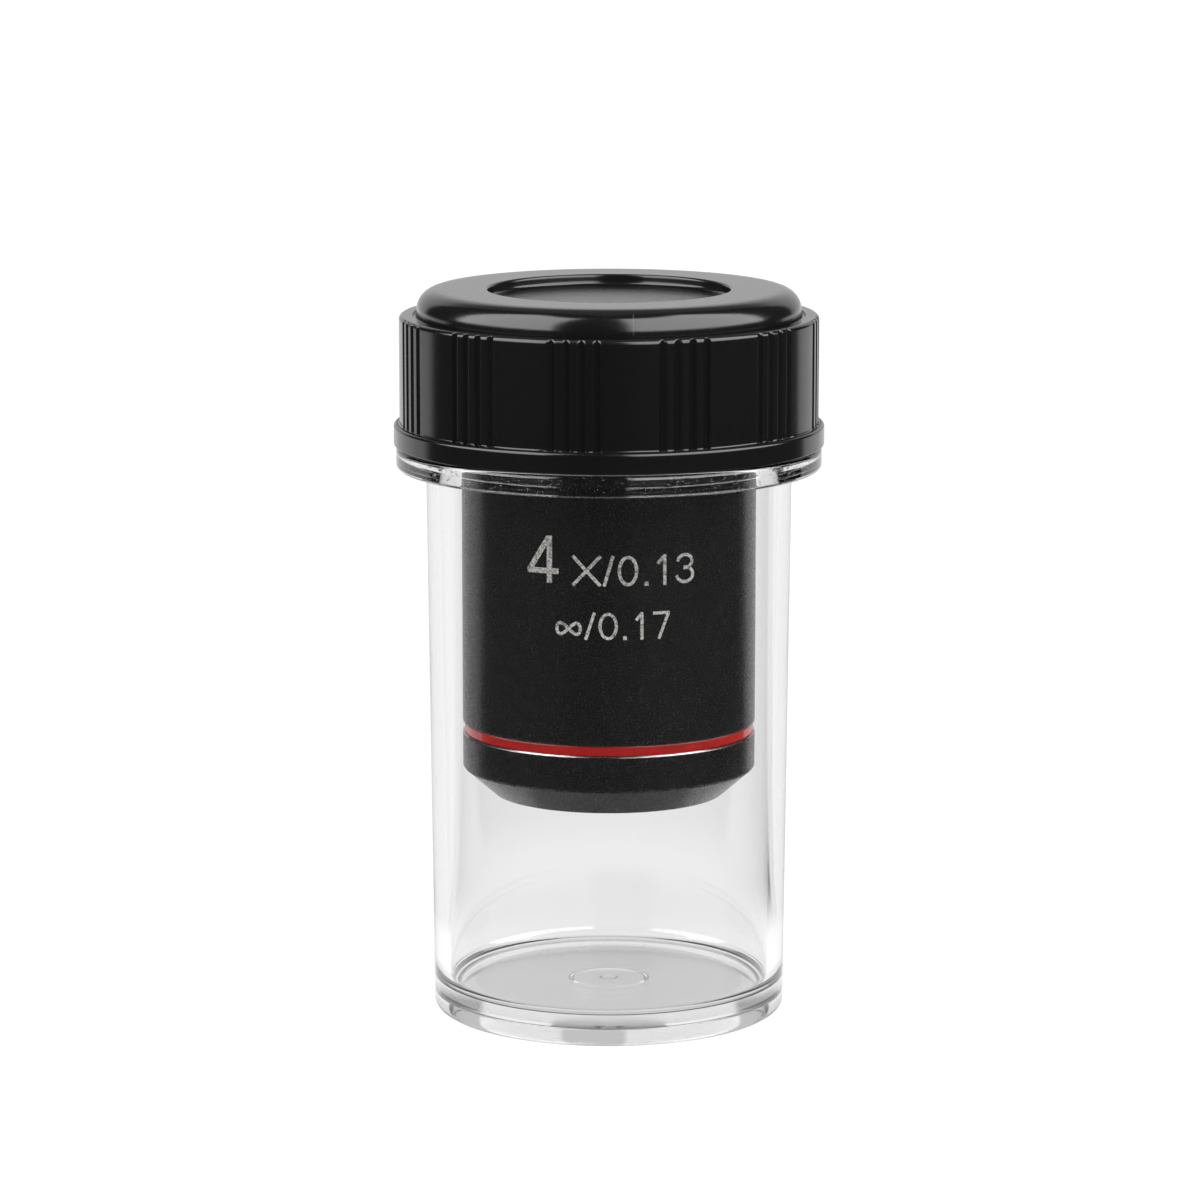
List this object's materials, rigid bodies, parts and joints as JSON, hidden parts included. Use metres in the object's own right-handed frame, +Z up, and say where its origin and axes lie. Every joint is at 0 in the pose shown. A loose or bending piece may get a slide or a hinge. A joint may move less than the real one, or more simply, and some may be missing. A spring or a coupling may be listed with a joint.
{
  "type": "microscope objective",
  "caption": "Microscope objective with a black barrel and a red colour ring, screwed nose down into the lid of its clear screw-top storage jar.",
  "frame": {"origin": "centre of the jar's underside, on the surface that the jar stands on", "axes": "+Z up along the optical axis, from the objective's nose to its mounting thread; the engraved numbers face -Y"},
  "size_m": [0.0364, 0.0364, 0.062],
  "materials": {
    "clear_plastic": "clear moulded, polished",
    "black_plastic": "moulded, gloss, with a grained disc on top",
    "soft_plastic": "soft, matt",
    "blackened_brass": "blackened, satin",
    "black_anodised": "black anodised, fine satin",
    "red_enamel": "gloss enamel",
    "bare_brass": "turned",
    "screw_steel": "black oxide",
    "optical_glass": "polished and coated"
  },
  "bodies": {
    "jar": {"jar": "clear_plastic"},
    "sealing_ring": {"sealing_ring": "soft_plastic"},
    "lid": {"lid": "black_plastic"},
    "objective": {"mount_body": "blackened_brass", "barrel_sleeve": "black_anodised", "colour_ring": "red_enamel", "nose_cap": "black_anodised", "lens_tube": "black_anodised", "parfocal_ring": "bare_brass", "set_screws": "screw_steel", "rear_retainer": "black_anodised", "front_cell": "black_anodised", "front_retainer": "black_anodised", "front_lens": "optical_glass", "front_spacer": "black_anodised", "crown_lens_a": "optical_glass", "flint_lens_a": "optical_glass", "middle_spacer": "black_anodised", "aperture_stop": "black_anodised", "rear_spacer": "black_anodised", "crown_lens_b": "optical_glass", "flint_lens_b": "optical_glass"}
  },
  "joints": [
    {"name": "lid_lift", "type": "slide", "parent": "jar", "child": "sealing_ring", "axis": [0, 0, 1], "range_m": [0, 0.055]},
    {"name": "lid_turn", "type": "hinge", "parent": "sealing_ring", "child": "lid", "pos_m": [0, 0, 0.0583], "axis": [0, 0, 1], "range_deg": [0, 450]},
    {"name": "objective_draw", "type": "slide", "parent": "lid", "child": "objective", "axis": [0, 0, -1], "range_m": [0, 0.012]}
  ]
}
